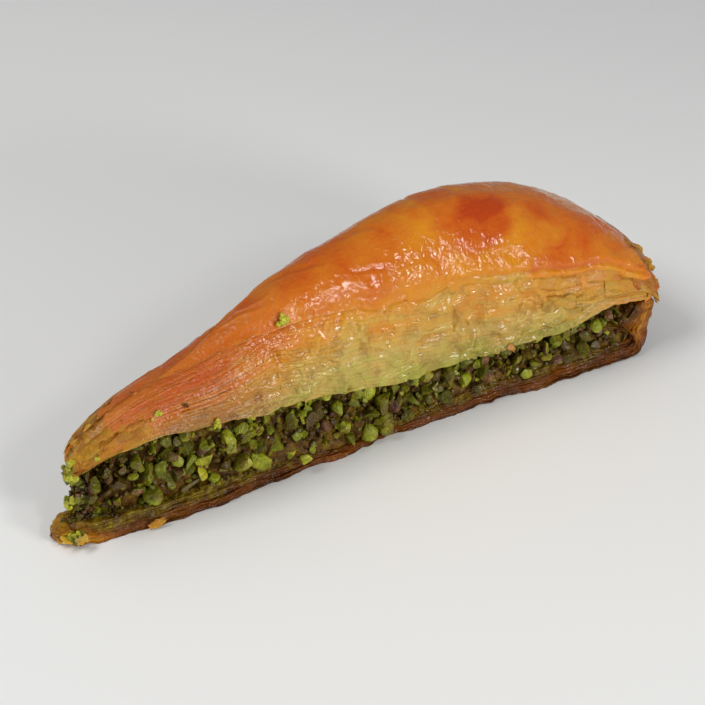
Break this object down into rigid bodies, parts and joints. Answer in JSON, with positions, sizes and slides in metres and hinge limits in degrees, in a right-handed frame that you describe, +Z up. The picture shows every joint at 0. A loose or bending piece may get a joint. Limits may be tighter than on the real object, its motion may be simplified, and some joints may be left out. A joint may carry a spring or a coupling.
{
  "type": "baklava slice",
  "caption": "Long wedge-shaped slice of pistachio baklava: domed, glossy, flaky top pastry over chopped green nuts on a thin, syrup-soaked crust that turns up at the rim.",
  "frame": {"origin": "middle of the slice's box, on the flat face that it rests on", "axes": "+Z up; +X along the slice from its narrow tip to its rim; -Y the near cut side"},
  "size_m": [0.165, 0.0455, 0.0532],
  "materials": {
    "soaked_crust": null,
    "chopped_pistachio": null,
    "baked_pastry": null
  },
  "bodies": {
    "root": {"bottom_pastry": "soaked_crust", "pistachio_filling": "chopped_pistachio", "top_pastry": "baked_pastry"}
  },
  "joints": []
}
